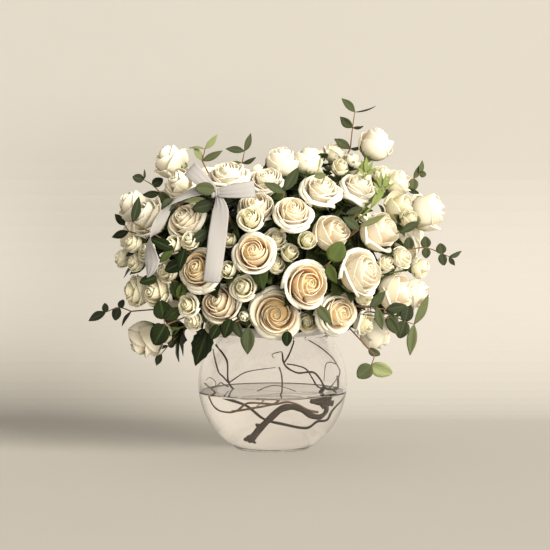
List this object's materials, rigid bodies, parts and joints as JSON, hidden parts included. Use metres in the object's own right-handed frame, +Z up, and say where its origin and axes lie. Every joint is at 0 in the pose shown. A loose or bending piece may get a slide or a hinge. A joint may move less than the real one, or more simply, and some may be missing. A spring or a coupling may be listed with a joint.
{
  "type": "floral table centerpiece",
  "caption": "Floral table centerpiece: a dome of ivory roses, spray roses and eucalyptus with a satin bow, on a round glass bowl of water and curly willow.",
  "frame": {"origin": "middle of the underside of the bowl's flat foot, on the table", "axes": "+Z up, -Y towards the front of the arrangement, X across it"},
  "size_m": [0.4954, 0.3896, 0.4678],
  "materials": {
    "bowl_glass": "clear, polished",
    "water": "clear water",
    "dish_plastic": "clear, slightly frosted",
    "floral_foam": "wet, open-celled",
    "willow_bark": "bare bark",
    "petal": "velvety petal, stems and calyx green",
    "eucalyptus_leaf": "waxy leaf",
    "rose_leaf": "semi-gloss leaf",
    "satin": "satin weave",
    "pick_wood": "bare wood"
  },
  "bodies": {
    "root": {"bow": "satin", "bow_pick": "pick_wood", "bowl": "bowl_glass", "dish": "dish_plastic", "eucalyptus_left": "eucalyptus_leaf", "eucalyptus_low_left": "eucalyptus_leaf", "eucalyptus_low_right": "eucalyptus_leaf", "eucalyptus_right": "eucalyptus_leaf", "eucalyptus_top": "eucalyptus_leaf", "eucalyptus_top_right": "eucalyptus_leaf", "foam": "floral_foam", "leaves_left": "rose_leaf", "leaves_right": "rose_leaf", "leaves_rim": "rose_leaf", "rear_roses_1": "petal", "rear_roses_2": "petal", "rear_roses_3": "petal", "rear_roses_4": "petal", "rear_roses_5": "petal", "rose_01": "petal", "rose_02": "petal", "rose_03": "petal", "rose_04": "petal", "rose_05": "petal", "rose_06": "petal", "rose_07": "petal", "rose_08": "petal", "rose_09": "petal", "rose_10": "petal", "rose_11": "petal", "rose_12": "petal", "rose_13": "petal", "rose_14": "petal", "rose_15": "petal", "rose_16": "petal", "rose_17": "petal", "rose_18": "petal", "rose_19": "petal", "rose_20": "petal", "rose_21": "petal", "rose_22": "petal", "rose_23": "petal", "rose_24": "petal", "rose_25": "petal", "roses_top": "petal", "spray_left": "petal", "spray_left_front": "petal", "spray_low_left": "petal", "spray_low_right": "petal", "spray_middle": "petal", "spray_right": "petal", "spray_top_right": "petal", "spray_upper_middle": "petal", "spray_upper_right": "petal", "water": "water", "willow_limb": "willow_bark", "willow_twig_left": "willow_bark", "willow_twig_low": "willow_bark"}
  },
  "joints": []
}
